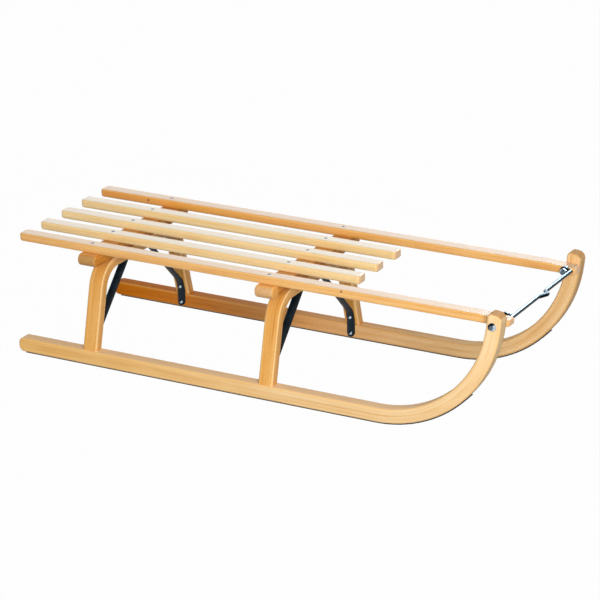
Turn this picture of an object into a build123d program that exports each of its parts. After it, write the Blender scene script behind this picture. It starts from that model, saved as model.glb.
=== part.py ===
# Davos sled: two bent runners with steel shoes, two bows that carry cross bars, five seat slats,
# four steel struts, and a front rod clamped between the horns by two bolts and nuts.
#
# Frame: +X forwards, towards the horns; +Y to the sled's left; +Z up. The origin is on the ground,
# in the middle of the overall length and width. All sizes are in millimetres.

import os
from math import cos, degrees, radians, sin, tan

from build123d import *

os.makedirs("parts", exist_ok=True)

# Seat slats
seat_height = 229.0  # ground to the top of the slats
slat_width = 27.0
slat_thick = 16.0
slat_pitch = 69.5  # from slat to slat, middle to middle
slat_round = 4.0
outer_slat_length = 1003.0  # the two outer slats reach the horns
inner_slat_length = 680.0
outer_slat_taper = 60.0  # length of the outer slats' thinner front end
outer_slat_drop = 3.5  # how far the top comes down along that taper
slat_nose = 7.0  # rounding of the slats' ends, seen from above

# Runners and their shoes
runner_width = 26.0
runner_thick = 27.5
runner_round = 4.0
runner_inset = 3.0  # rear end of the runner, ahead of the slats' rear ends
runner_end_round = 11.0
bend_angle = 82.5
horn_length = 26.5  # straight end of the horn above the bend
horn_rise = 12.5  # front corner of the horn above the seat, before it is rounded
horn_front_round = 13.0
horn_back_round = 8.0
shoe_width = 19.0
shoe_thick = 2.0
shoe_inset = 14.0  # bare wood behind the shoe's rear end
shoe_angle = 47.5  # how far the shoe follows the bend

# Countersunk holes of the wood screws: two in each slat, four in each shoe
slat_screw_diameter = 4.5
slat_screw_head = 8.0
slat_screw_back = 1.5  # behind the middle of the cross bar
shoe_screw_diameter = 3.5
shoe_screw_head = 6.5
shoe_screw_inset = 12.0  # from either end of the shoe
shoe_screw_rows = 3  # evenly spaced from there to the start of the bend

# Bows and cross bars
rear_overhang = 157.0  # from the slats' rear ends to the middle of the rear cross bar
bar_gap = 374.0  # from bar to bar, middle to middle
bow_width = 30.0
bow_thick = 20.0
bow_splay = 14.5  # lean of the legs, in degrees
bow_shoulder = 60.0  # outer radius of the bend
bow_round = 4.0
bar_width = 37.0
bar_thick = 22.5
bar_length = 334.0
bar_end_bulge = 8.0
bar_round = 3.0

# Struts: pressed steel strip, arched across its width, along the runner, the leg and the bow
strut_width = 16.5
strut_sheet = 2.0
strut_arch = 4.5  # depth of the arched strip
strut_rim = 1.2  # height of its two long edges, which lie on the wood
strut_foot = 6.0  # lower tip above the ground
strut_knee = 60.0  # height where the strut leaves the leg
strut_head = 40.0  # from the middle of the sled to where the strut meets the bow
strut_flange = 26.0
strut_foot_bend = 20.0
strut_knee_bend = 30.0
strut_head_bend = 16.0

# Front rod, its bolts and nuts
bolt_back = 19.0  # bolt's axis behind the outer slats' front ends
bolt_lag = 1.5  # bolt's axis behind the horn's middle line
bolt_diameter = 8.0
bolt_clearance = 0.1
bolt_head_diameter = 15.0
bolt_head_height = 4.5
bolt_head_round = 4.0
bolt_tail = 3.0  # thread showing past the nut
nut_sides = 6
nut_flats = 12.5
nut_height = 6.5
rod_diameter = 7.5
rod_forward = 10.5  # rod's axis ahead of the bolts' axis
rod_bend = 5.0
eye_radius = 8.5
eye_thick = 5.0
kink_depth = 10.0
kink_near = -16.0  # across the sled, where the kink starts, has its tip and ends
kink_tip = 5.0
kink_far = 15.5

# Heights
runner_top = shoe_thick + runner_thick
slat_under = seat_height - slat_thick
bar_under = slat_under - bar_thick
bow_under = bar_under - bow_thick
bolt_height = seat_height - slat_thick / 2
horn_corner = seat_height + horn_rise

# Places across the sled
outer_slat_y = 2 * slat_pitch
runner_inner = outer_slat_y + slat_width / 2  # the horns lie against the outer slats
runner_y = runner_inner + runner_width / 2
runner_outer = runner_inner + runner_width
slat_inner_face = outer_slat_y - slat_width / 2

# The rod's line, seen from above, with its axis on X = 0
with BuildLine() as rod_line:
    FilletPolyline(
        (0, -slat_inner_face),
        (0, kink_near),
        (kink_depth, kink_tip),
        (0, kink_far),
        (0, slat_inner_face),
        radius=rod_bend,
    )
kink_reach = rod_line.line.bounding_box().max.X + rod_diameter / 2

# Places along the sled: the kink is its foremost point
overall_length = outer_slat_length - bolt_back + rod_forward + kink_reach
rear_x = -overall_length / 2
runner_rear_x = rear_x + runner_inset
rear_bar_x = rear_x + rear_overhang
bar_places = {"rear": rear_bar_x, "front": rear_bar_x + bar_gap}
bow_lead = (bar_width - bow_width) / 2  # the front faces of bow and bar are flush
bow_places = {place: x + bow_lead for place, x in bar_places.items()}
bolt_x = rear_x + outer_slat_length - bolt_back
rod_x = bolt_x + rod_forward

# The bend brings the horn up to its height, and starts where the horn then takes the bolt
bend = radians(bend_angle)
bend_radius = (horn_corner - shoe_thick - horn_length * sin(bend)) / (1 - cos(bend))  # underside
middle_radius = bend_radius - runner_thick / 2
bend_top = shoe_thick + bend_radius - middle_radius * cos(bend)
bolt_reach = middle_radius * sin(bend) + (bolt_height - bend_top) / tan(bend)
bend_x = bolt_x + bolt_lag - bolt_reach

sides = {"right": -1, "left": 1}


def bolt_axis(y):
    # A place on the horn bolts' axis, with its own Z along the sled's Y.
    return Plane((bolt_x, y, bolt_height), x_dir=(1, 0, 0), z_dir=(0, 1, 0))


def finish(piece, name):
    # Names one finished piece and writes its file.
    piece.part.label = name
    export_step(piece.part, f"parts/{name}.step")


# Runners: a straight run, a bend and a short straight horn, with every long edge rounded
for side, sign in sides.items():
    with BuildPart() as runner:
        with BuildSketch(Plane.XZ.offset(-sign * runner_y)) as runner_side:
            with BuildLine():
                sole = Line((runner_rear_x, shoe_thick), (bend_x, shoe_thick))
                outer_bend = JernArc(sole @ 1, sole % 1, bend_radius, bend_angle)
                horn_front = PolarLine(outer_bend @ 1, horn_length, bend_angle)
                top = Line((runner_rear_x, runner_top), (bend_x, runner_top))
                inner_bend = JernArc(top @ 1, top % 1, bend_radius - runner_thick, bend_angle)
                horn_back = PolarLine(inner_bend @ 1, horn_length, bend_angle)
                Line(horn_front @ 1, horn_back @ 1)
                Line(sole @ 0, top @ 0)
            make_face()
            fillet(runner_side.vertices().sort_by(Axis.X)[:2], runner_end_round)
            horn_corners = runner_side.vertices().sort_by(Axis.Y)[-2:].sort_by(Axis.X)
            fillet(horn_corners[0], horn_back_round)
            fillet(runner_side.vertices().sort_by(Axis.X)[-1], horn_front_round)
        extrude(amount=runner_width / 2, both=True)
        fillet(runner.faces().filter_by(Axis.Y).edges(), runner_round)
        with Locations(bolt_axis(sign * runner_y)):
            Hole(bolt_diameter / 2 + bolt_clearance)
    finish(runner, f"runner_{side}")

# Shoes: flat steel under the runner and part of the way up its bend
tip_angle = shoe_angle - degrees(shoe_screw_inset / bend_radius)
flat_length = bend_x - runner_rear_x - shoe_inset
shoe_screws = [(tip_angle, 0.0)]  # angle round the bend, distance behind its start
for row in range(shoe_screw_rows):
    shoe_screws.append((0.0, row * (flat_length - shoe_screw_inset) / (shoe_screw_rows - 1)))


def screw_place(y, angle, back):
    # A place on the shoe's underside, with its own Z pointing away from the wood.
    turn = radians(angle)
    reach = bend_radius + shoe_thick
    outwards = (sin(turn), 0, -cos(turn))
    spot = (bend_x - back + reach * sin(turn), y, reach - reach * cos(turn))
    return Plane(spot, x_dir=(0, 1, 0), z_dir=outwards)


for side, sign in sides.items():
    with BuildPart() as shoe:
        with BuildSketch(Plane.XZ.offset(-sign * runner_y)):
            with BuildLine():
                under = Line((runner_rear_x + shoe_inset, 0), (bend_x, 0))
                under_bend = JernArc(under @ 1, under % 1, bend_radius + shoe_thick, shoe_angle)
                over = Line((runner_rear_x + shoe_inset, shoe_thick), (bend_x, shoe_thick))
                over_bend = JernArc(over @ 1, over % 1, bend_radius, shoe_angle)
                Line(under_bend @ 1, over_bend @ 1)
                Line(under @ 0, over @ 0)
            make_face()
        extrude(amount=shoe_width / 2, both=True)
        with Locations(*[screw_place(sign * runner_y, angle, back) for angle, back in shoe_screws]):
            CounterSinkHole(shoe_screw_diameter / 2, shoe_screw_head / 2)
    finish(shoe, f"shoe_{side}")

# Bows: one bent bar each, flat under the cross bar, with splayed legs that stand on the runners
splay = radians(bow_splay)
inner_shoulder = bow_shoulder - bow_thick
shoulder_z = bar_under - bow_shoulder
foot_width = bow_thick / cos(splay)
foot_inner = runner_y - foot_width / 2  # the feet stand in the middle of the runners
foot_outer = runner_y + foot_width / 2
shoulder_y = foot_inner - (shoulder_z - runner_top) * tan(splay) - inner_shoulder / cos(splay)
for place, x in bow_places.items():
    with BuildPart() as bow:
        with BuildSketch(Plane.YZ.offset(x)):
            with BuildLine():
                outer_arc = CenterArc((shoulder_y, shoulder_z), bow_shoulder, bow_splay, 90 - bow_splay)
                inner_arc = CenterArc((shoulder_y, shoulder_z), inner_shoulder, bow_splay, 90 - bow_splay)
                Polyline(outer_arc @ 0, (foot_outer, runner_top), (foot_inner, runner_top), inner_arc @ 0)
                mirror(about=Plane.YZ)
                Line((-shoulder_y, bar_under), (shoulder_y, bar_under))
                Line((-shoulder_y, bow_under), (shoulder_y, bow_under))
            make_face()
        extrude(amount=bow_width / 2, both=True)
        outline = bow.faces().filter_by(Axis.X).edges()
        fillet(outline - outline.group_by(Axis.Z)[0], bow_round)  # the feet stay square on the runners
    finish(bow, f"bow_{place}")

# Cross bars: round-ended, on the bows and under the slats
end_corner = bar_length / 2 - bar_end_bulge
bar_middle = slat_under - bar_thick / 2
for place, x in bar_places.items():
    with BuildPart() as bar:
        with BuildSketch(Plane.YZ.offset(x)):
            with BuildLine():
                ThreePointArc((end_corner, bar_under), (bar_length / 2, bar_middle), (end_corner, slat_under))
                mirror(about=Plane.YZ)
                Line((-end_corner, slat_under), (end_corner, slat_under))
                Line((-end_corner, bar_under), (end_corner, bar_under))
            make_face()
        extrude(amount=bar_width / 2, both=True)
        fillet(bar.faces().filter_by(Axis.X).edges(), bar_round)
    finish(bar, f"cross_bar_{place}")

# Seat slats: name, place across the sled in pitches, and whether it runs on to the horn
slats = [
    ("slat_outer_right", -2, True),
    ("slat_inner_right", -1, False),
    ("slat_middle", 0, False),
    ("slat_inner_left", 1, False),
    ("slat_outer_left", 2, True),
]
for name, step, reaches_horn in slats:
    with BuildPart() as slat:
        front_x = rear_x + (outer_slat_length if reaches_horn else inner_slat_length)
        taper_x = front_x - outer_slat_taper
        top_front = [(front_x, seat_height)]
        if reaches_horn:
            top_front = [(front_x, seat_height - outer_slat_drop), (taper_x, seat_height)]
        with BuildSketch(Plane.XZ.offset(-step * slat_pitch)):
            with BuildLine():
                under_corners = [(rear_x, slat_under), (front_x, slat_under)]
                Polyline(*under_corners, *top_front, (rear_x, seat_height), close=True)
            make_face()
        extrude(amount=slat_width / 2, both=True)
        fillet(slat.edges().filter_by(Axis.Z), slat_nose)
        taper_fold = slat.edges().filter_by(Axis.Y).sort_by(Axis.X)[2:-2]
        fillet(slat.edges().filter_by(Axis.Z, reverse=True) - taper_fold, slat_round)
        for x in bar_places.values():
            with Locations((x - slat_screw_back, step * slat_pitch, seat_height)):
                CounterSinkHole(slat_screw_diameter / 2, slat_screw_head / 2)
        if reaches_horn:
            with Locations(bolt_axis(step * slat_pitch)):
                Hole(bolt_diameter / 2 + bolt_clearance)
    finish(slat, name)

# Struts: up the inside of the runner and the leg, slanting from the knee to a flange under the bow
leg_inner = foot_inner - (strut_knee - runner_top) * tan(splay)  # the leg's inner face at the knee
leg_meet = runner_top + (foot_inner - runner_inner) / tan(splay)  # where that face crosses the runner's
tip_radius = strut_width / 2
with BuildSketch() as tip_corners:
    Rectangle(strut_width, tip_radius, align=(Align.CENTER, Align.MIN))
    with Locations((0, tip_radius)):
        Circle(tip_radius, mode=Mode.SUBTRACT)

for place, x in bow_places.items():
    for side, sign in sides.items():
        foot_tip = (x, sign * runner_inner, strut_foot)
        flange_tip = (x, sign * (strut_head - strut_flange), bow_under)
        with BuildPart() as strut:
            with BuildLine(Plane.YZ.offset(x)):
                FilletPolyline(
                    (sign * runner_inner, strut_foot),
                    (sign * runner_inner, leg_meet),
                    (sign * leg_inner, strut_knee),
                    (sign * strut_head, bow_under),
                    (sign * (strut_head - strut_flange), bow_under),
                    radius=[strut_foot_bend, strut_knee_bend, strut_head_bend],
                )
            with BuildSketch(Plane(foot_tip, x_dir=(1, 0, 0), z_dir=(0, 0, 1))):
                with BuildLine():
                    rims = [(end, -sign * strut_rim) for end in (-tip_radius, tip_radius)]
                    ThreePointArc((-tip_radius, 0), (0, -sign * (strut_arch - strut_sheet)), (tip_radius, 0))
                    Line((tip_radius, 0), rims[1])
                    ThreePointArc(rims[1], (0, -sign * strut_arch), rims[0])
                    Line(rims[0], (-tip_radius, 0))
                make_face()
            sweep()
            for tip, facing in ((foot_tip, (0, -1, 0)), (flange_tip, (0, 0, sign))):
                with BuildSketch(Plane(tip, x_dir=(1, 0, 0), z_dir=facing)):
                    add(tip_corners.sketch)
                extrude(amount=strut_arch, both=True, mode=Mode.SUBTRACT)
        finish(strut, f"strut_{place}_{side}")

# Horn bolts: a domed head outside the horn and a plain shank through horn, slat, eye and nut
shank_end = slat_inner_face - eye_thick - nut_height - bolt_tail
for side, sign in sides.items():
    with BuildPart() as bolt:
        with BuildSketch(Plane.XZ.offset(-sign * shank_end)):
            with Locations((bolt_x, bolt_height)):
                Circle(bolt_diameter / 2)
        extrude(amount=-sign * (runner_outer - shank_end))
        with BuildSketch(Plane.XZ.offset(-sign * runner_outer)):
            with Locations((bolt_x, bolt_height)):
                Circle(bolt_head_diameter / 2)
        extrude(amount=-sign * bolt_head_height)
        fillet(bolt.edges().group_by(Axis.Y)[0 if sign < 0 else -1], bolt_head_round)
    finish(bolt, f"horn_bolt_{side}")

# Nuts: one flat faces the rod, on the inner side of each eye
for side, sign in sides.items():
    with BuildPart() as nut:
        with BuildSketch(Plane.XZ.offset(-sign * (slat_inner_face - eye_thick))):
            with Locations((bolt_x, bolt_height)):
                RegularPolygon(nut_flats / 2, nut_sides, major_radius=False, rotation=180 / nut_sides)
                Circle(bolt_diameter / 2 + bolt_clearance, mode=Mode.SUBTRACT)
        extrude(amount=sign * nut_height)
    finish(nut, f"horn_nut_{side}")

# Front rod: a round bar with a kink for the pull cord, and a flat eye at each end
with BuildPart() as rod:
    with BuildLine():
        add(rod_line.line.moved(Location((rod_x, 0, bolt_height))))
    with BuildSketch(Plane((rod_x, -slat_inner_face, bolt_height), z_dir=(0, 1, 0))):
        Circle(rod_diameter / 2)
    sweep()
    for sign in sides.values():
        with BuildSketch(Plane.XZ.offset(-sign * slat_inner_face)):
            with Locations((bolt_x, bolt_height)):
                Circle(eye_radius)
        extrude(amount=sign * eye_thick)
        with Locations(bolt_axis(sign * slat_inner_face)):
            Hole(bolt_diameter / 2 + bolt_clearance)
finish(rod, "front_rod")
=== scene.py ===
from math import cos, radians, sin, tan

import bmesh
import bpy
from mathutils import Matrix, Vector


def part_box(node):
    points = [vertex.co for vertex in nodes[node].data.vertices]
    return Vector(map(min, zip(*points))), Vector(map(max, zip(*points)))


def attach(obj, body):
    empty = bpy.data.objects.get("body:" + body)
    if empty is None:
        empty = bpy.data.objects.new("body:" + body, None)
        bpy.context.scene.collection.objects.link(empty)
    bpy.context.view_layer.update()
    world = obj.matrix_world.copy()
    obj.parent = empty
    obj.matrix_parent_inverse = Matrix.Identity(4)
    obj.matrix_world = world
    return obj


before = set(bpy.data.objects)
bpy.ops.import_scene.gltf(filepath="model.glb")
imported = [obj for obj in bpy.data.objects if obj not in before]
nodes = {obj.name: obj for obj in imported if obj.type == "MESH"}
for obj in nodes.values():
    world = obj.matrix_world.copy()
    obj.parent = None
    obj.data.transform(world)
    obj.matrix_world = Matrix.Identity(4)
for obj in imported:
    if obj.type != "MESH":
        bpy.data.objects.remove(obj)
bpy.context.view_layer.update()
mm = 0.001
print("frame loaded:", len(nodes), "nodes")


# Places that come from the frame, in metres

runnerLow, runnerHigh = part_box("runner_left")
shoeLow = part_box("shoe_left")[0]
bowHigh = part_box("bow_front")[1]
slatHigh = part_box("slat_middle")[1]
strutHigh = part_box("strut_front_left")[1]
runnerMiddleY = (runnerLow.y + runnerHigh.y) / 2
bowMiddles = [sum(corner.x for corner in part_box(name)) / 2 for name in ("bow_rear", "bow_front")]
barMiddles = [sum(corner.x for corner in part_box(name)) / 2 for name in ("cross_bar_rear", "cross_bar_front")]
slatNames = ["slat_outer_right", "slat_inner_right", "slat_middle", "slat_inner_left", "slat_outer_left"]
slatMiddles = [sum(corner.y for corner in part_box(name)) / 2 for name in slatNames]

# The bent pieces, in metres and degrees: where each bend has its middle, its radius to the middle of the wood,
# and how far it turns
runnerBend = {"startX": 0.2519, "middleZ": 0.2472, "radius": 0.23145, "turn": 82.5, "runnerTop": 0.0295}
bowBend = {"outerRadius": 0.060, "thick": 0.020, "splay": 14.5}
bowBend["middleZ"] = bowHigh.z - bowBend["outerRadius"]
bowBend["radius"] = bowBend["outerRadius"] - bowBend["thick"] / 2
bowLean = radians(bowBend["splay"])
legRise = bowBend["middleZ"] - runnerBend["runnerTop"]
innerShoulder = bowBend["outerRadius"] - bowBend["thick"]
footInner = runnerMiddleY - bowBend["thick"] / cos(bowLean) / 2  # the feet stand in the middle of the runners
bowBend["middleY"] = footInner - legRise * tan(bowLean) - innerShoulder / cos(bowLean)


# Camera at the photograph's angle, first, because all looks are judged through it

cameraLook = {
    "aim": (0.0233, -0.0273, 0.1403),
    "yaw": 29.537,
    "pitch": 21.177,
    "roll": -1.339,
    "distance": 5.0138,
    "focalPixels": 2756,
    "imagePixels": 600,
    "sensorMm": 36,
}


def makeCamera(look):
    yaw, pitch, roll = (radians(look[key]) for key in ("yaw", "pitch", "roll"))
    forward = Vector((-sin(yaw) * cos(pitch), cos(yaw) * cos(pitch), -sin(pitch)))
    level = Vector((cos(yaw), sin(yaw), 0))
    right = cos(roll) * level + sin(roll) * level.cross(forward)
    up = right.cross(forward)
    camera = bpy.data.objects.new("photoCamera", bpy.data.cameras.new("photoCamera"))
    bpy.context.scene.collection.objects.link(camera)
    turned = Matrix((right, up, -forward)).transposed()
    place = Vector(look["aim"]) - forward * look["distance"]
    camera.matrix_world = Matrix.Translation(place) @ turned.to_4x4()
    camera.data.sensor_width = look["sensorMm"]
    camera.data.lens = look["focalPixels"] / look["imagePixels"] * look["sensorMm"]
    camera.data.clip_end = 100
    bpy.context.scene.camera = camera


makeCamera(cameraLook)
print("camera placed")


# Node helpers

def linearColour(code):
    channels = [int(code[start:start + 2], 16) / 255 for start in (1, 3, 5)]
    curve = [c / 12.92 if c <= 0.04045 else ((c + 0.055) / 1.055) ** 2.4 for c in channels]
    return (*curve, 1)


def addNode(tree, kind, settings=None, inputs=None, stops=()):
    # An input is a value, a socket or a node, which gives its first output. Stops are for a colour ramp, from
    # low to high. A Mix node of colours has its factor at 0, its colours at 6 and 7, and its result at 2.
    node = tree.nodes.new("ShaderNode" + kind)
    for key, value in (settings or {}).items():
        setattr(node, key, value)
    for key, value in (inputs or {}).items():
        if isinstance(value, bpy.types.Node):
            value = value.outputs[0]
        if isinstance(value, bpy.types.NodeSocket):
            tree.links.new(value, node.inputs[key])
        else:
            node.inputs[key].default_value = value
    for index, (place, code) in enumerate(stops):
        elements = node.color_ramp.elements
        stop = elements[index] if index < len(elements) else elements.new(place)
        stop.position = place
        stop.color = linearColour(code)
    return node


def newMaterial(name):
    material = bpy.data.materials.new(name)
    material.use_nodes = True
    tree = material.node_tree
    tree.nodes.clear()
    shader = addNode(tree, "BsdfPrincipled")
    addNode(tree, "OutputMaterial", inputs={"Surface": shader})
    return material, tree, shader


# How the grain runs. Each way gives a vector socket (along the grain, then two across it) and the grain's
# own direction, so that streaks follow a bend as they do in steam-bent wood.

def straightGrain(axis):
    def build(tree):
        place = addNode(tree, "TexCoord").outputs["Object"]
        xyz = addNode(tree, "SeparateXYZ", inputs={0: place})
        order = {"x": "XYZ", "y": "YXZ"}[axis]
        grain = addNode(tree, "CombineXYZ", inputs={i: xyz.outputs[name] for i, name in enumerate(order)})
        direction = addNode(tree, "CombineXYZ", inputs={0: float(axis == "x"), 1: float(axis == "y")})
        return grain, direction
    return build


def bentGrain(bend):
    # Straight, round an arc and straight again: the arc's own angle is held between 0 and its full turn
    def build(tree):
        place = addNode(tree, "TexCoord").outputs["Object"]
        xyz = addNode(tree, "SeparateXYZ", inputs={0: place})
        onwards = xyz.outputs[bend["onwards"]]
        side = addNode(tree, "Math", {"operation": "SIGN"}, {0: onwards})
        if bend["mirrored"]:
            onwards = addNode(tree, "Math", {"operation": "ABSOLUTE"}, {0: onwards})
        reach = addNode(tree, "Math", {"operation": "SUBTRACT"}, {0: onwards, 1: bend["start"]})
        height = addNode(tree, "Math", {"operation": "SUBTRACT"}, {0: xyz.outputs["Z"], 1: bend["middleZ"]})
        outwards = addNode(tree, "Math", {"operation": "MULTIPLY"}, {0: height, 1: bend["convexSide"]})
        angle = addNode(tree, "Math", {"operation": "ARCTAN2"}, {0: reach, 1: outwards})
        held = addNode(tree, "Clamp", inputs={"Value": angle, "Min": 0.0, "Max": radians(bend["turn"])})
        sine = addNode(tree, "Math", {"operation": "SINE"}, {0: held})
        cosine = addNode(tree, "Math", {"operation": "COSINE"}, {0: held})
        reachSine = addNode(tree, "Math", {"operation": "MULTIPLY"}, {0: reach, 1: sine})
        across = addNode(tree, "Math", {"operation": "MULTIPLY_ADD"}, {0: outwards, 1: cosine, 2: reachSine})
        reachCosine = addNode(tree, "Math", {"operation": "MULTIPLY"}, {0: reach, 1: cosine})
        outSine = addNode(tree, "Math", {"operation": "MULTIPLY"}, {0: outwards, 1: sine})
        straight = addNode(tree, "Math", {"operation": "SUBTRACT"}, {0: reachCosine, 1: outSine})
        run = addNode(tree, "Math", {"operation": "MULTIPLY_ADD"}, {0: held, 1: bend["radius"], 2: straight})
        along = addNode(tree, "Math", {"operation": "ADD"}, {0: run, 1: bend["start"]})
        if bend["mirrored"]:
            along = addNode(tree, "Math", {"operation": "MULTIPLY"}, {0: along, 1: side})
            cosine = addNode(tree, "Math", {"operation": "MULTIPLY"}, {0: cosine, 1: side})
        grain = addNode(tree, "CombineXYZ", inputs={0: along, 1: across, 2: xyz.outputs[bend["flat"]]})
        rise = addNode(tree, "Math", {"operation": "MULTIPLY"}, {0: sine, 1: -bend["convexSide"]})
        towards = {"X": {0: cosine, 2: rise}, "Y": {1: cosine, 2: rise}}[bend["onwards"]]
        return grain, addNode(tree, "CombineXYZ", inputs=towards)
    return build


runnerGrain = bentGrain({
    "onwards": "X", "flat": "Y", "mirrored": False, "start": runnerBend["startX"],
    "middleZ": runnerBend["middleZ"], "convexSide": -1.0, "radius": runnerBend["radius"],
    "turn": runnerBend["turn"],
})
bowGrain = bentGrain({
    "onwards": "Y", "flat": "X", "mirrored": True, "start": bowBend["middleY"],
    "middleZ": bowBend["middleZ"], "convexSide": 1.0, "radius": bowBend["radius"],
    "turn": 90 - bowBend["splay"],
})


# Beech, steam-bent or planed, then sanded and varnished with a clear satin lacquer. Close straight grain with
# short dark flecks. The roundings carry painted light, and the upper faces a painted pale sheen.

beechGrain = {
    "ringWidthMm": 5.5,  # growth rings, seen as long streaks
    "ringLengthMm": 600.0,
    "ringShare": 0.5,  # the rings', fibres' and patches' shares of the wood's tone add up to 1
    "fibreWidthMm": 1.6,  # real fibres are finer: drawn as coarse as the render can show
    "fibreLengthMm": 60.0,
    "fibreShare": 0.22,
    "patchWidthMm": 16.0,  # slow change of tone along the piece
    "patchLengthMm": 130.0,
    "patchShare": 0.28,
    "deepAt": 0.34,  # the tone at which each of the three colours is whole
    "midAt": 0.47,
    "paleAt": 0.62,
    "fleckWidthMm": 0.7,
    "fleckLengthMm": 4.0,
    "fleckFrom": 0.60,
    "fleckFull": 0.72,
    "fleckShare": 0.4,
    "rearShadeNoneX": 0.35,  # where a painted shade towards the rear starts, and where it is whole
    "rearShadeFullX": -0.50,
    "topLightFrom": 0.8,  # how level a face must lie before it takes the painted light of an upper face
    "topLightShare": 0.8,
    "knotColour": "#7A4C22",
    "knotCore": 0.7,  # where a knot is whole and where it ends, in its own radius
    "knotRim": 1.5,
    "roundingFrom": 0.05,  # 0 on a flat face and 0.25 halfway round an edge
    "roundingFull": 0.25,
    "roundingShare": 0.6,
    "endFrom": 0.45,  # how squarely a face must cut the grain before it shows as end grain
    "endFull": 0.70,
    "endRingMm": 1.3,
    "endRingLengthMm": 3.0,
    "endRingHeightMm": 12.0,
    "endDeepAt": 0.15,
    "endPlainAt": 0.5,
    "ior": 1.5,
    "roughness": 0.45,
    "roughnessSpread": 0.08,
    "lacquerRoughness": 0.2,
    "bumpMm": 0.12,
    "fibreRelief": 0.6,  # beside the rings' relief of 1
}

# Each look's edge colour is painted light in the roundings: a pale highlight on most pieces, a deeper line of
# shade on the runners
beechLooks = {
    "beechInnerSlats": {"pale": "#F3D8A2", "mid": "#EBC88A", "deep": "#DBB06C", "edge": "#F2CF90",
                        "endGrain": "#E2B98C", "seed": 3.0, "grain": straightGrain("x"), "sideAxis": "Y",
                        "lacquer": 0.75, "shine": 0.4, "topLightColour": "#EDE0CB"},
    "beechOuterSlats": {"pale": "#EDBE78", "mid": "#E3A95E", "deep": "#CE8F44", "edge": "#ECB768",
                        "endGrain": "#E8B57C", "seed": 11.0, "grain": straightGrain("x"), "sideAxis": "Y",
                        "lacquer": 0.65, "shine": 0.4, "topLightColour": "#E9CCAD",
                        "knots": [((-0.393, 0.1255, 0.2227), 2.2), ((0.177, -0.1525, 0.2264), 2.2)]},
    # The two runners are lit and shaded copies of one beech: the far, left one is painted deeper for the shade
    # it stands in
    "beechRunnerLitRight": {"pale": "#F3D6A9", "mid": "#ECC792", "deep": "#DCB076", "edge": "#EDBC76",
                         "endGrain": "#D3A26A", "seed": 23.0, "grain": runnerGrain, "sideAxis": "Y",
                         "lacquer": 0.02, "shine": 0.02, "rearShadeTint": "#FFEEC8", "topLightColour": "#F9D2A4"},
    "beechRunnerShadedLeft": {"pale": "#EDCB99", "mid": "#E3B982", "deep": "#CC9A5A", "edge": "#DDAA64",
                        "endGrain": "#D3A26A", "seed": 29.0, "grain": runnerGrain, "sideAxis": "Y",
                        "lacquer": 0.02, "shine": 0.02, "rearShadeTint": "#D8982E"},
    "beechBows": {"pale": "#EAB66C", "mid": "#DE9F4D", "deep": "#C08034", "edge": "#F6D6A0",
                  "endGrain": "#C28C52", "seed": 37.0, "grain": bowGrain, "sideAxis": "X",
                  "lacquer": 0.15, "shine": 0.2},
    # The front bar's pale ends are painted light, for the shade that falls on its middle under the seat
    "beechBarFront": {"pale": "#E3A046", "mid": "#D0821E", "deep": "#AE640C", "edge": "#E0AC68",
                      "endGrain": "#DAAC78", "seed": 51.0, "grain": straightGrain("y"), "sideAxis": "X",
                      "lacquer": 0.05, "shine": 0.1, "topLightColour": "#EDB672",
                      "litBarEnds": {"colour": "#F0B25A", "fromY": 0.138, "fullY": 0.152, "share": 0.85}},
    "beechBarRear": {"pale": "#E3A046", "mid": "#D0821E", "deep": "#AE640C", "edge": "#D9A25C",
                     "endGrain": "#BF9158", "seed": 57.0, "grain": straightGrain("y"), "sideAxis": "X",
                     "lacquer": 0.05, "shine": 0.1, "topLightColour": "#EDB672"},
}
# The far outer slat is a copy with a painted shade towards its rear
beechLooks["beechOuterSlatLeft"] = dict(beechLooks["beechOuterSlats"], rearShadeTint="#F9DD9C")

smooth = {"interpolation_type": "SMOOTHSTEP"}  # settings that many nodes share
colours = {"data_type": "RGBA"}


def grainPatterns(tree, grain, seed, values):
    # Noises drawn out along the grain. Each has its own shift, so that no two look alike.
    def streaks(width, length, detail, shift, height=None):
        sizes = (1 / (length * mm), 1 / (width * mm), 1 / ((height or width) * mm))
        scaled = addNode(tree, "VectorMath", {"operation": "MULTIPLY"}, {0: grain, 1: sizes})
        moved = addNode(tree, "VectorMath", {"operation": "ADD"}, {0: scaled, 1: (seed + shift,) * 3})
        return addNode(tree, "TexNoise", inputs={"Vector": moved, "Scale": 1.0, "Detail": detail})

    return {
        "rings": streaks(values["ringWidthMm"], values["ringLengthMm"], 3.0, 0),
        "fibres": streaks(values["fibreWidthMm"], values["fibreLengthMm"], 2.0, 5),
        "patches": streaks(values["patchWidthMm"], values["patchLengthMm"], 2.0, 9),
        "flecks": streaks(values["fleckWidthMm"], values["fleckLengthMm"], 0.0, 14),
        "ends": streaks(values["endRingMm"], values["endRingLengthMm"], 2.0, 31, values["endRingHeightMm"]),
    }


def plainWood(tree, patterns, look, values):
    # The tone of the rings, fibres and patches together, and the flecks over it
    tone = 0.0
    for pattern, share in (("rings", "ringShare"), ("fibres", "fibreShare"), ("patches", "patchShare")):
        tone = addNode(tree, "Math", {"operation": "MULTIPLY_ADD"}, {
            0: patterns[pattern], 1: values[share], 2: tone})
    colour = addNode(tree, "ValToRGB", inputs={"Fac": tone}, stops=(
        (values["deepAt"], look["deep"]), (values["midAt"], look["mid"]), (values["paleAt"], look["pale"])))
    fleckAmount = addNode(tree, "MapRange", inputs={
        "Value": patterns["flecks"], "From Min": values["fleckFrom"], "From Max": values["fleckFull"],
        "To Max": values["fleckShare"]})
    return addNode(tree, "Mix", colours, {0: fleckAmount, 6: colour, 7: linearColour(look["deep"])}).outputs[2]


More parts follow.
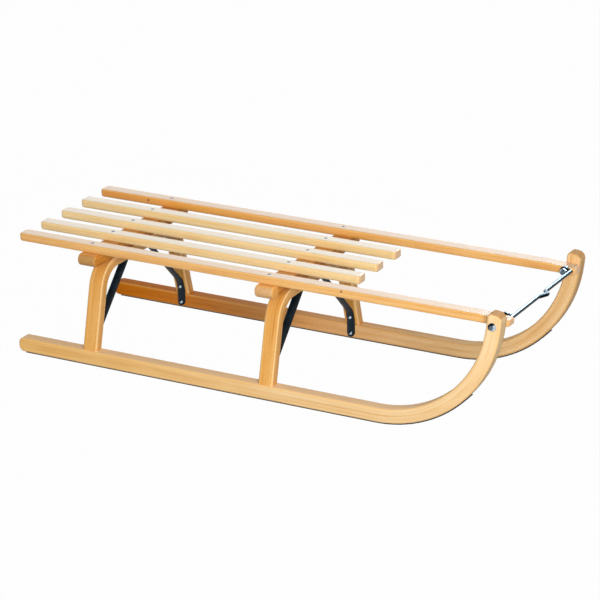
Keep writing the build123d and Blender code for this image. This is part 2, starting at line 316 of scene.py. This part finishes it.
def agedWood(tree, wood, grain, facings, look, values):
    # What only some pieces have: a painted shade towards the rear, painted light on the bar's ends, painted
    # light on the upper faces, and knots
    along = addNode(tree, "SeparateXYZ", inputs={0: grain})
    # Painted shade: the colour is multiplied by the tint, more towards the rear, where less light falls on the
    # piece
    if "rearShadeTint" in look:
        rear = addNode(tree, "MapRange", smooth, {
            "Value": along, "From Min": values["rearShadeNoneX"], "From Max": values["rearShadeFullX"]})
        wood = addNode(tree, "Mix", {**colours, "blend_type": "MULTIPLY"}, {
            0: rear, 6: wood, 7: linearColour(look["rearShadeTint"])}).outputs[2]
    # Painted light: the front bar's ends, out from under the seat, are mixed towards a paler colour, and its
    # middle keeps a painted shade
    if "litBarEnds" in look:
        ends = look["litBarEnds"]
        fromMiddle = addNode(tree, "Math", {"operation": "ABSOLUTE"}, {0: along})
        endLight = addNode(tree, "MapRange", smooth, {
            "Value": fromMiddle, "From Min": ends["fromY"], "From Max": ends["fullY"], "To Max": ends["share"]})
        wood = addNode(tree, "Mix", colours, {0: endLight, 6: wood, 7: linearColour(ends["colour"])}).outputs[2]
    # Painted light: faces that lie level are mixed towards a paler colour, standing in for the sheen and the
    # light on the upper faces
    if "topLightColour" in look:
        topLightMask = addNode(tree, "MapRange", smooth, {
            "Value": facings.outputs["Z"], "From Min": values["topLightFrom"], "From Max": 1.0,
            "To Max": values["topLightShare"]})
        wood = addNode(tree, "Mix", colours, {
            0: topLightMask, 6: wood, 7: linearColour(look["topLightColour"])}).outputs[2]
    for knot, radiusMm in look.get("knots", ()):
        place = addNode(tree, "TexCoord").outputs["Object"]
        away = addNode(tree, "VectorMath", {"operation": "DISTANCE"}, {0: place, 1: knot})
        dark = addNode(tree, "MapRange", inputs={
            "Value": away.outputs["Value"], "From Min": radiusMm * mm * values["knotRim"],
            "From Max": radiusMm * mm * values["knotCore"]})
        wood = addNode(tree, "Mix", colours, {
            0: dark, 6: wood, 7: linearColour(values["knotColour"])}).outputs[2]
    return wood


def roundingLightWood(tree, wood, facings, look, values):
    # Painted light in the roundings along a piece, told from the flats by the way they face: a pale highlight
    # on most pieces, a deeper line of shade on the runners
    facing = facings.outputs[look["sideAxis"]]
    sideways = addNode(tree, "Math", {"operation": "MULTIPLY"}, {0: facing, 1: facing})
    level = addNode(tree, "Math", {"operation": "SUBTRACT"}, {0: 1.0, 1: sideways})
    corner = addNode(tree, "Math", {"operation": "MULTIPLY"}, {0: sideways, 1: level})
    rounding = addNode(tree, "MapRange", smooth, {
        "Value": corner, "From Min": values["roundingFrom"], "From Max": values["roundingFull"],
        "To Max": values["roundingShare"]})
    return addNode(tree, "Mix", colours, {0: rounding, 6: wood, 7: linearColour(look["edge"])}).outputs[2]


def makeBeech(name, look, values):
    material, tree, shader = newMaterial(name)
    grain, direction = look["grain"](tree)
    normal = addNode(tree, "NewGeometry").outputs["Normal"]
    facings = addNode(tree, "SeparateXYZ", inputs={0: normal})
    patterns = grainPatterns(tree, grain, look["seed"], values)
    wood = plainWood(tree, patterns, look, values)
    wood = agedWood(tree, wood, grain, facings, look, values)
    wood = roundingLightWood(tree, wood, facings, look, values)

    cutAcross = addNode(tree, "VectorMath", {"operation": "DOT_PRODUCT"}, {0: normal, 1: direction})
    cutAmount = addNode(tree, "Math", {"operation": "ABSOLUTE"}, {0: cutAcross.outputs["Value"]})
    isEnd = addNode(tree, "MapRange", smooth, {
        "Value": cutAmount, "From Min": values["endFrom"], "From Max": values["endFull"]})
    endColour = addNode(tree, "ValToRGB", inputs={"Fac": patterns["ends"]}, stops=(
        (values["endDeepAt"], look["deep"]), (values["endPlainAt"], look["endGrain"])))
    wood = addNode(tree, "Mix", colours, {0: isEnd, 6: wood, 7: endColour}).outputs[2]

    relief = addNode(tree, "Math", {"operation": "MULTIPLY_ADD"}, {
        0: patterns["fibres"], 1: values["fibreRelief"], 2: patterns["rings"]})
    bump = addNode(tree, "Bump", inputs={"Height": relief, "Distance": values["bumpMm"] * mm, "Strength": 1.0})
    roughness = addNode(tree, "MapRange", inputs={
        "Value": patterns["patches"], "To Min": values["roughness"] - values["roughnessSpread"],
        "To Max": values["roughness"] + values["roughnessSpread"]})
    tree.links.new(wood, shader.inputs["Base Color"])
    tree.links.new(bump.outputs[0], shader.inputs["Normal"])
    tree.links.new(roughness.outputs[0], shader.inputs["Roughness"])
    shader.inputs["IOR"].default_value = values["ior"]
    shader.inputs["Specular IOR Level"].default_value = look["shine"]
    shader.inputs["Coat Weight"].default_value = look["lacquer"]
    shader.inputs["Coat Roughness"].default_value = values["lacquerRoughness"]
    return material


beech = {name: makeBeech(name, look, beechGrain) for name, look in beechLooks.items()}
print("beech made:", ", ".join(beech))


# Metals. In each the colour goes from dark to pale with a soft cloud, and the two places say at what tone.

strutEnamel = {"dark": "#060C11", "pale": "#0E212C", "darkAt": 0.35, "paleAt": 0.7, "cloudMm": 14.0,
               "skinMm": 1.5, "bumpMm": 0.05, "roughness": 0.4, "shine": 0.15, "coat": 0.07,
               "coatRoughness": 0.3}
shoeSteel = {"dark": "#2B2B2F", "pale": "#55565C", "darkAt": 0.35, "paleAt": 0.65, "cloudMm": 12.0,
             "cloudLengthMm": 30.0, "scratchMm": 0.8, "scratchLengthMm": 70.0, "scratchShare": 0.6,
             "bumpMm": 0.04, "roughness": 0.46}
# The rod's and the domed heads' dark sides are painted shade and reflection
rodPlate = {"dark": "#4E6576", "pale": "#7890A0", "cloudMm": 2.5, "bumpMm": 0.02, "roughness": 0.16,
            "paintedDarkSide": {"colour": "#04060A", "brightTowards": (0, 0, 1), "darkTo": 0.48, "brightFrom": 0.7}}
nutPlate = {"dark": "#303F4C", "pale": "#A9C2D4", "cloudMm": 6.0, "bumpMm": 0.02, "roughness": 0.2}
domePlate = {"dark": "#8CA6B8", "pale": "#C4DAE8", "cloudMm": 6.0, "bumpMm": 0.02, "roughness": 0.2,
             "paintedDarkSide": {"colour": "#141C26", "brightTowards": (0.8, 0, -0.6), "darkTo": -0.12,
                         "brightFrom": 0.25}}
screwPlate = {"dark": "#56616E", "pale": "#8391A0", "cloudMm": 1.5, "bumpMm": 0.04, "roughness": 0.4}
zincTone = {"darkAt": 0.3, "paleAt": 0.6}


def metalNoise(tree, sizesMm, detail):
    place = addNode(tree, "TexCoord").outputs["Object"]
    scales = tuple(1 / (size * mm) for size in sizesMm)
    scaled = addNode(tree, "VectorMath", {"operation": "MULTIPLY"}, {0: place, 1: scales})
    return addNode(tree, "TexNoise", inputs={"Vector": scaled, "Scale": 1.0, "Detail": detail})


def makeEnamel(name, values):
    # Black stoving enamel, dipped over pressed steel strip: satin, with a slight orange-peel skin
    material, tree, shader = newMaterial(name)
    skin = metalNoise(tree, (values["skinMm"],) * 3, 2.0)
    cloud = metalNoise(tree, (values["cloudMm"],) * 3, 3.0)
    colour = addNode(tree, "ValToRGB", inputs={"Fac": cloud}, stops=(
        (values["darkAt"], values["dark"]), (values["paleAt"], values["pale"])))
    bump = addNode(tree, "Bump", inputs={"Height": skin, "Distance": values["bumpMm"] * mm})
    tree.links.new(colour.outputs[0], shader.inputs["Base Color"])
    tree.links.new(bump.outputs[0], shader.inputs["Normal"])
    shader.inputs["Roughness"].default_value = values["roughness"]
    shader.inputs["Specular IOR Level"].default_value = values["shine"]
    shader.inputs["Coat Weight"].default_value = values["coat"]
    shader.inputs["Coat Roughness"].default_value = values["coatRoughness"]
    return material


def makeShoeSteel(name, values):
    # Hot-rolled mild steel flat, dull blue-grey mill scale, rubbed brighter lengthwise where it has slid
    material, tree, shader = newMaterial(name)
    scratches = metalNoise(tree, (values["scratchLengthMm"], values["scratchMm"], values["scratchMm"]), 2.0)
    cloud = metalNoise(tree, (values["cloudLengthMm"], values["cloudMm"], values["cloudMm"]), 3.0)
    scratched = addNode(tree, "Math", {"operation": "MULTIPLY"}, {0: scratches, 1: values["scratchShare"]})
    tone = addNode(tree, "Math", {"operation": "MULTIPLY_ADD"}, {
        0: cloud, 1: 1 - values["scratchShare"], 2: scratched})
    colour = addNode(tree, "ValToRGB", inputs={"Fac": tone}, stops=(
        (values["darkAt"], values["dark"]), (values["paleAt"], values["pale"])))
    bump = addNode(tree, "Bump", inputs={"Height": scratches, "Distance": values["bumpMm"] * mm})
    tree.links.new(colour.outputs[0], shader.inputs["Base Color"])
    tree.links.new(bump.outputs[0], shader.inputs["Normal"])
    shader.inputs["Metallic"].default_value = 1.0
    shader.inputs["Roughness"].default_value = values["roughness"]
    return material


def makeZinc(name, values):
    # Electroplated zinc with a blue passivation, cool and slightly cloudy. The rod and the domed heads carry a
    # painted shade and reflection, near black on the side turned away from the light.
    material, tree, shader = newMaterial(name)
    cloud = metalNoise(tree, (values["cloudMm"],) * 3, 2.0)
    plating = addNode(tree, "ValToRGB", inputs={"Fac": cloud}, stops=(
        (zincTone["darkAt"], values["dark"]), (zincTone["paleAt"], values["pale"]))).outputs[0]
    # Painted shade and reflection: the colour goes near black on the side turned away from brightTowards
    if "paintedDarkSide" in values:
        paintedDarkSide = values["paintedDarkSide"]
        normal = addNode(tree, "NewGeometry").outputs["Normal"]
        facing = addNode(tree, "VectorMath", {"operation": "DOT_PRODUCT"}, {
            0: normal, 1: paintedDarkSide["brightTowards"]})
        litSide = addNode(tree, "MapRange", smooth, {
            "Value": facing.outputs["Value"], "From Min": paintedDarkSide["darkTo"], "From Max": paintedDarkSide["brightFrom"]})
        plating = addNode(tree, "Mix", colours, {
            0: litSide, 6: linearColour(paintedDarkSide["colour"]), 7: plating}).outputs[2]
    bump = addNode(tree, "Bump", inputs={"Height": cloud, "Distance": values["bumpMm"] * mm})
    tree.links.new(plating, shader.inputs["Base Color"])
    tree.links.new(bump.outputs[0], shader.inputs["Normal"])
    shader.inputs["Metallic"].default_value = 1.0
    shader.inputs["Roughness"].default_value = values["roughness"]
    return material


enamel = makeEnamel("blackEnamelledSteel", strutEnamel)
rolledSteel = makeShoeSteel("hotRolledSteel", shoeSteel)
rodZinc = makeZinc("brightZincPlate", rodPlate)
nutZinc = makeZinc("paleZincPlate", nutPlate)
domeZinc = makeZinc("halfShadedZincPlate", domePlate)
screwZinc = makeZinc("dullZincPlate", screwPlate)
print("metals made")


# Finishes of the frame's own pieces, by the start of their names

finishes = {
    "slat_outer_right": beech["beechOuterSlats"],
    "slat_outer_left": beech["beechOuterSlatLeft"],
    "slat_inner": beech["beechInnerSlats"],
    "slat_middle": beech["beechInnerSlats"],
    "runner_right": beech["beechRunnerLitRight"],
    "runner_left": beech["beechRunnerShadedLeft"],
    "bow": beech["beechBows"],
    "cross_bar_front": beech["beechBarFront"],
    "cross_bar_rear": beech["beechBarRear"],
    "strut": enamel,
    "shoe": rolledSteel,
    "horn_bolt": domeZinc,
    "horn_nut": nutZinc,
    "front_rod": rodZinc,
}
for name, node in nodes.items():
    start = next(key for key in finishes if name.startswith(key))
    if not node.material_slots:
        node.data.materials.append(finishes[start])
    for materialSlot in node.material_slots:
        materialSlot.material = finishes[start]
print("finishes given to", len(nodes), "frame pieces")


# Modelling helpers

def startPrimitive(add, name, **size):
    bpy.ops.object.select_all(action="DESELECT")
    add(**size)
    piece = bpy.context.object
    piece.name = piece.data.name = name
    return piece


def selectFaces(piece, wanted):
    bpy.ops.mesh.select_mode(type="FACE")
    bpy.ops.mesh.select_all(action="DESELECT")
    mesh = bmesh.from_edit_mesh(piece.data)
    for face in mesh.faces:
        face.select_set(wanted(face))
    bmesh.update_edit_mesh(piece.data)


def applyModifiers(piece):
    bpy.ops.object.select_all(action="DESELECT")
    piece.select_set(True)
    bpy.context.view_layer.objects.active = piece
    for modifier in list(piece.modifiers):
        bpy.ops.object.modifier_apply(modifier=modifier.name)


def setOut(model, name, places, finish):
    # One copy of the model at each place, with its own mesh, all joined into one piece at the origin
    copies = []
    for spot, outwards in places:
        copied = model.copy()
        copied.data = model.data.copy()
        bpy.context.scene.collection.objects.link(copied)
        turned = Vector(outwards).to_track_quat("Z", "X").to_matrix().to_4x4()
        copied.data.transform(Matrix.Translation(spot) @ turned)
        copies.append(copied)
    bpy.ops.object.select_all(action="DESELECT")
    for copied in copies:
        copied.select_set(True)
    bpy.context.view_layer.objects.active = copies[0]
    bpy.ops.object.join()
    piece = copies[0]
    piece.name = piece.data.name = name
    piece.data.materials.clear()
    piece.data.materials.append(finish)
    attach(piece, "root")
    return piece


# Countersunk wood screw heads, zinc-plated, with a cross recess

slatScrew = {"radiusMm": 4.0, "shankMm": 2.1, "depthMm": 1.9, "edgeMm": 0.25, "armMm": 2.2, "slotMm": 0.55,
             "recessMm": 1.1, "sides": 32, "smoothAngle": 35}
shoeScrew = {"radiusMm": 3.0, "shankMm": 1.8, "depthMm": 1.3, "edgeMm": 0.2, "armMm": 1.8, "slotMm": 0.45,
             "recessMm": 0.9, "sides": 28, "smoothAngle": 35}


def makeScrewHead(name, values):
    depth = values["depthMm"] * mm
    head = startPrimitive(bpy.ops.mesh.primitive_cylinder_add, name, vertices=values["sides"],
                          radius=values["radiusMm"] * mm, depth=depth, location=(0, 0, -depth / 2))
    bpy.ops.object.transform_apply(location=True, rotation=True, scale=True)
    bpy.ops.object.mode_set(mode="EDIT")
    selectFaces(head, lambda face: face.normal.z < -0.9)
    taper = values["shankMm"] / values["radiusMm"]
    bpy.ops.transform.resize(value=(taper, taper, 1), center_override=(0, 0, -depth))
    selectFaces(head, lambda face: face.normal.z > 0.9)
    bpy.ops.mesh.bevel(offset=values["edgeMm"] * mm, segments=2, affect="EDGES")
    bpy.ops.object.mode_set(mode="OBJECT")
    arm = values["armMm"] * mm
    for sizeX, sizeY in ((arm, values["slotMm"] * mm), (values["slotMm"] * mm, arm)):
        cutter = startPrimitive(bpy.ops.mesh.primitive_cube_add, "recessCutter", size=2,
                                scale=(sizeX, sizeY, values["recessMm"] * mm))
        bpy.ops.object.transform_apply(location=True, rotation=True, scale=True)
        cut = head.modifiers.new("recess", "BOOLEAN")
        cut.object = cutter
        cut.solver = "EXACT"
        applyModifiers(head)
        bpy.data.objects.remove(cutter)
    bpy.ops.object.shade_smooth_by_angle(angle=radians(values["smoothAngle"]))
    return head


# Round rivet heads with a small dimple, as the setting tool leaves it

rivetHead = {"radiusMm": 4.0, "heightMm": 2.0, "sides": 28, "rings": 16, "smoothAngle": 40,
             "crownShare": 0.93,  # of the height, above which the faces are set down into the dimple
             "dimpleLipMm": 0.2, "dimpleDepthMm": 0.5}


def makeRivetHead(name, values):
    radius = values["radiusMm"] * mm
    head = startPrimitive(bpy.ops.mesh.primitive_uv_sphere_add, name, segments=values["sides"],
                          ring_count=values["rings"], radius=radius)
    bpy.ops.object.mode_set(mode="EDIT")
    bpy.ops.mesh.select_all(action="SELECT")
    bpy.ops.mesh.bisect(plane_co=(0, 0, 0), plane_no=(0, 0, 1), clear_inner=True, use_fill=True)
    bpy.ops.mesh.select_all(action="SELECT")
    bpy.ops.transform.resize(value=(1, 1, values["heightMm"] / values["radiusMm"]), center_override=(0, 0, 0))
    crown = values["heightMm"] * mm * values["crownShare"]
    selectFaces(head, lambda face: face.calc_center_median().z > crown)
    bpy.ops.mesh.inset(thickness=values["dimpleLipMm"] * mm)
    bpy.ops.transform.translate(value=(0, 0, -values["dimpleDepthMm"] * mm))
    bpy.ops.object.mode_set(mode="OBJECT")
    bpy.ops.object.shade_smooth_by_angle(angle=radians(values["smoothAngle"]))
    return head


fastenerPlaces = {
    "slatScrewBackMm": 1.5,  # behind the middle of each cross bar
    "sunkMm": 0.15,  # screw heads lie just under the face
    "footRivetMm": 14.0,  # above the ground
    "legRivetMm": 46.0,
    "flangeRivetMm": 23.0,  # from the middle of the sled
    "rivetSeatMm": 3.8,  # the arched strut's crown, less what the flat head sinks into it
    "shoeScrewInsetMm": 12.0,  # from either end of the shoe
    "shoeTipAngle": 47.5,
    "shoeRows": 3,
}

sunk = fastenerPlaces["sunkMm"] * mm
screwBack = fastenerPlaces["slatScrewBackMm"] * mm
slatScrews = [((x - screwBack, y, slatHigh.z - sunk), (0, 0, 1)) for x in barMiddles for y in slatMiddles]

rivetSeat = fastenerPlaces["rivetSeatMm"] * mm
footZ, legZ, flangeY = (fastenerPlaces[key] * mm for key in ("footRivetMm", "legRivetMm", "flangeRivetMm"))
legFace = footInner - (legZ - runnerBend["runnerTop"]) * tan(bowLean) - rivetSeat / cos(bowLean)
strutRivets = []
for x in bowMiddles:
    for sign in (-1, 1):
        strutRivets.append(((x, sign * (runnerLow.y - rivetSeat), footZ), (0, -sign, 0)))
        strutRivets.append(((x, sign * legFace, legZ), (0, -sign * cos(bowLean), -sin(bowLean))))
        strutRivets.append(((x, sign * flangeY, strutHigh.z - rivetSeat), (0, 0, -1)))

screwInset = fastenerPlaces["shoeScrewInsetMm"] * mm
shoeReach = runnerBend["middleZ"]  # the shoe's underside touches the ground
tipAngle = radians(fastenerPlaces["shoeTipAngle"]) - screwInset / shoeReach
rowGap = (runnerBend["startX"] - shoeLow.x - screwInset) / (fastenerPlaces["shoeRows"] - 1)
shoeSpots = [(tipAngle, 0)] + [(0, row * rowGap) for row in range(fastenerPlaces["shoeRows"])]
shoeScrews = []
for angle, back in shoeSpots:
    outwards = Vector((sin(angle), 0, -cos(angle)))
    for sign in (-1, 1):
        middle = Vector((runnerBend["startX"] - back, sign * runnerMiddleY, runnerBend["middleZ"]))
        shoeScrews.append((middle + outwards * (shoeReach - sunk), outwards))

for model, name, places, finish in (
    (makeScrewHead("slatScrewModel", slatScrew), "slat_screws", slatScrews, screwZinc),
    (makeScrewHead("shoeScrewModel", shoeScrew), "shoe_screws", shoeScrews, nutZinc),
    (makeRivetHead("rivetModel", rivetHead), "strut_rivets", strutRivets, domeZinc),
):
    setOut(model, name, places, finish)
    bpy.data.objects.remove(model)
    print(name, "set:", len(places))


# Floor, world and lamps. The white ground is for camera, glossy and transmitted rays; the rest of the light
# stays at a plain level.

stageLook = {
    "floorSize": 40.0,
    "floorColour": "#8C8A88",
    "whiteShare": 0.985,  # how much of the seen floor is plain white, the rest keeps the shadow
    "worldStrength": 0.06,
    "worldColour": "#F4F6FA",
}
softLamps = {
    "frontKey": {"place": (2.2, -2.9, 1.4), "size": (1.6, 1.2), "watts": 128, "mirrored": False},
    "sideFill": {"place": (-1.2, -3.6, 1.0), "size": (2.0, 1.4), "watts": 27, "mirrored": False},
    "topSoftbox": {"place": (0.3, -0.4, 2.6), "size": (2.4, 2.4), "watts": 9, "mirrored": True},
    "backSoftbox": {"place": (-2.3, 3.9, 1.75), "size": (4.6, 2.2), "watts": 28, "mirrored": True},
    "rimStrip": {"place": (-0.3, 4.1, 2.9), "size": (3.0, 0.4), "watts": 66, "mirrored": True},
    "boltGlint": {"place": (2.3, -2.7, 1.6), "size": (0.8, 0.6), "watts": 10, "mirrored": True},
}
lampAim = Vector((0.05, 0, 0.12))


def seenRays(tree):
    # 1 for the rays that show a background: camera, glossy and transmission rays
    path = addNode(tree, "LightPath")
    seen = path.outputs["Is Camera Ray"]
    for name in ("Is Glossy Ray", "Is Transmission Ray"):
        seen = addNode(tree, "Math", {"operation": "MAXIMUM"}, {0: seen, 1: path.outputs[name]})
    return seen


def makeFloor(values):
    bpy.ops.object.select_all(action="DESELECT")
    bpy.ops.mesh.primitive_plane_add(size=values["floorSize"])
    floor = bpy.context.object
    floor.name = "studioFloor"
    material, tree, shader = newMaterial("paleStudioFloor")
    shader.inputs["Base Color"].default_value = linearColour(values["floorColour"])
    shader.inputs["Roughness"].default_value = 1.0
    shader.inputs["Specular IOR Level"].default_value = 0.0
    white = addNode(tree, "Emission", inputs={"Color": (1, 1, 1, 1), "Strength": 1.0})
    seen = seenRays(tree)
    share = addNode(tree, "Math", {"operation": "MULTIPLY"}, {0: seen, 1: values["whiteShare"]})
    mixed = addNode(tree, "MixShader", inputs={0: share, 1: shader, 2: white})
    output = next(node for node in tree.nodes if node.bl_idname == "ShaderNodeOutputMaterial")
    tree.links.new(mixed.outputs[0], output.inputs["Surface"])
    floor.data.materials.append(material)


def makeWorld(values):
    world = bpy.data.worlds.new("studioWorld")
    bpy.context.scene.world = world
    world.use_nodes = True
    tree = world.node_tree
    tree.nodes.clear()
    ambient = addNode(tree, "Background", inputs={
        "Color": linearColour(values["worldColour"]), "Strength": values["worldStrength"]})
    white = addNode(tree, "Background", inputs={"Color": (1, 1, 1, 1), "Strength": 1.0})
    mixed = addNode(tree, "MixShader", inputs={0: seenRays(tree), 1: ambient, 2: white})
    addNode(tree, "OutputWorld", inputs={"Surface": mixed})


def makeLamp(name, values):
    lamp = bpy.data.objects.new(name, bpy.data.lights.new(name, "AREA"))
    bpy.context.scene.collection.objects.link(lamp)
    lamp.data.shape = "RECTANGLE"
    lamp.data.size, lamp.data.size_y = values["size"]
    lamp.data.energy = values["watts"]
    lamp.visible_camera = False
    lamp.visible_glossy = values["mirrored"]  # seen in the lacquer, the two front lamps would bleach the seat
    place = Vector(values["place"])
    turned = (place - lampAim).to_track_quat("Z", "Y").to_matrix().to_4x4()
    lamp.matrix_world = Matrix.Translation(place) @ turned


makeFloor(stageLook)
makeWorld(stageLook)
for name, values in softLamps.items():
    makeLamp(name, values)
bpy.context.scene.view_settings.view_transform = "Standard"
print("floor, world and", len(softLamps), "lamps set")
